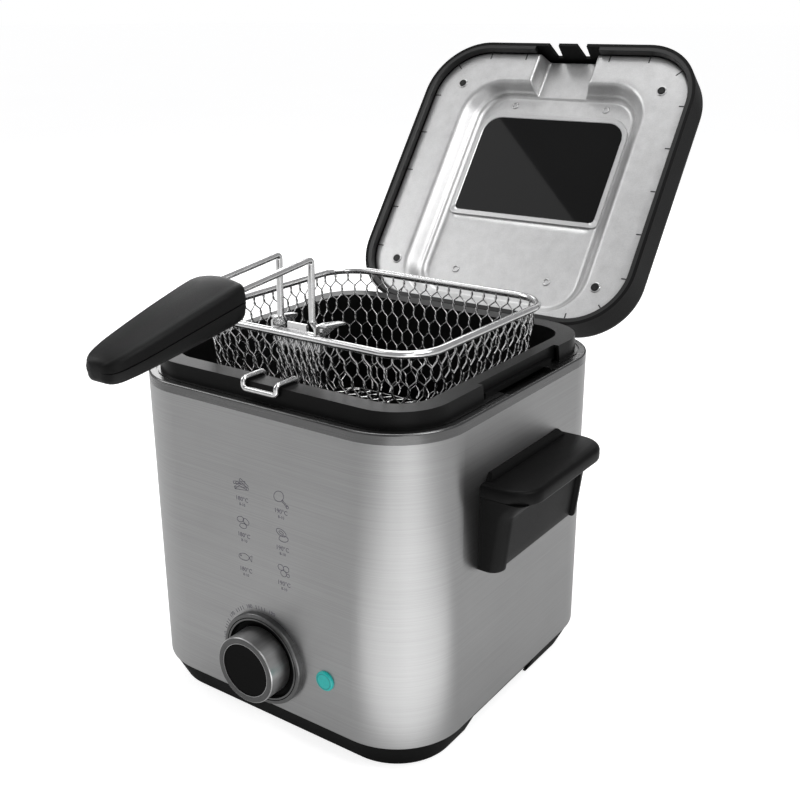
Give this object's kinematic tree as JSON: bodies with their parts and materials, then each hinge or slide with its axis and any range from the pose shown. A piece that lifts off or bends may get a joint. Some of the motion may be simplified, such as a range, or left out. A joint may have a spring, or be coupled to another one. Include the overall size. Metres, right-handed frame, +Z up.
{
  "type": "deep fryer",
  "caption": "Compact deep fryer with a brushed steel casing, dial, side handles, lift-out bowl, wire basket with folding handle, and hinged lid with a window.",
  "frame": {"origin": "centre of the casing's footprint, on the surface that the fryer stands on", "axes": "+Z up, -Y towards the front with the dial, +X to the side with the indicator lamp"},
  "size_m": [0.244, 0.4197, 0.3379],
  "materials": {
    "casing_steel": "horizontally brushed satin",
    "black_plastic": "fine satin moulding grain",
    "lid_plastic": "fine satin moulding grain",
    "grip_plastic": "soft satin",
    "foot_rubber": "matt",
    "ring_metal": "satin",
    "bowl_coating": "semi-gloss non-stick coating",
    "panel_aluminium": "fine grained, stamped",
    "frame_trim": "satin",
    "window_glass": "smoked, polished",
    "basket_chrome": "bright plated wire",
    "knob_metal": "satin turned",
    "knob_black": "satin",
    "lens_teal": "translucent, lit",
    "lamp_glass": "clear",
    "plated_steel": "zinc plated",
    "cast_aluminium": "as cast",
    "element_steel": "heat tinted",
    "control_plastic": "phenolic",
    "copper_bulb": "drawn copper",
    "lead_insulation": "silicone"
  },
  "bodies": {
    "root": {"outer_casing": "casing_steel", "base_tray": "black_plastic", "foot_pads": "foot_rubber", "base_screws": "plated_steel", "top_ring": "ring_metal", "oil_bowl": "bowl_coating", "heat_plate": "cast_aluminium", "heating_element": "element_steel", "heat_shield": "plated_steel", "shield_posts": "plated_steel", "plate_studs": "plated_steel", "thermostat_body": "control_plastic", "thermostat_bracket": "plated_steel", "thermostat_nut": "plated_steel", "sensor_bulb": "copper_bulb", "capillary_tube": "copper_bulb", "thermal_fuse": "plated_steel", "terminal_block": "control_plastic", "internal_leads": "lead_insulation", "indicator_lens": "lens_teal", "indicator_lamp": "lamp_glass", "dial_bezel": "knob_metal", "side_handle_right": "black_plastic", "side_handle_left": "black_plastic", "handle_screws": "plated_steel", "cord_inlet": "black_plastic", "hinge_mount": "black_plastic", "hinge_mount_screws": "plated_steel", "hinge_pins": "plated_steel", "drain_hook": "basket_chrome"},
    "lid": {"lid_cover": "lid_plastic", "lid_panel": "panel_aluminium", "window_frame": "frame_trim", "window_gasket": "foot_rubber", "window_glass": "window_glass", "lid_screws": "plated_steel"},
    "knob": {"knob_sleeve": "knob_metal", "knob_cap": "knob_black", "thermostat_shaft": "plated_steel"},
    "basket": {"basket_rim": "basket_chrome", "basket_mesh": "basket_chrome", "handle_bracket": "basket_chrome", "bracket_rivets": "basket_chrome"},
    "basket_handle": {"handle_wires": "basket_chrome", "grip_upper": "grip_plastic", "grip_lower": "grip_plastic", "grip_screws": "plated_steel"}
  },
  "joints": [
    {"name": "lid_hinge", "type": "hinge", "parent": "root", "child": "lid", "pos_m": [0, 0.099, 0.183], "axis": [1, 0, 0], "range_deg": [0, 126.5]},
    {"name": "basket_lift", "type": "slide", "parent": "root", "child": "basket", "axis": [0, 0, 1], "range_m": [-0.049, 0]},
    {"name": "handle_fold", "type": "hinge", "parent": "basket", "child": "basket_handle", "pos_m": [0, -0.0595, 0.212], "axis": [-1, 0, 0], "range_deg": [0, 165]},
    {"name": "knob_turn", "type": "hinge", "parent": "root", "child": "knob", "pos_m": [0, -0.1, 0.043], "axis": [0, 1, 0], "range_deg": [0, 270]}
  ],
  "couplings": [
    {"joint": "basket_lift", "follows": "lid_hinge", "m_per_rad": -0.02219}
  ]
}
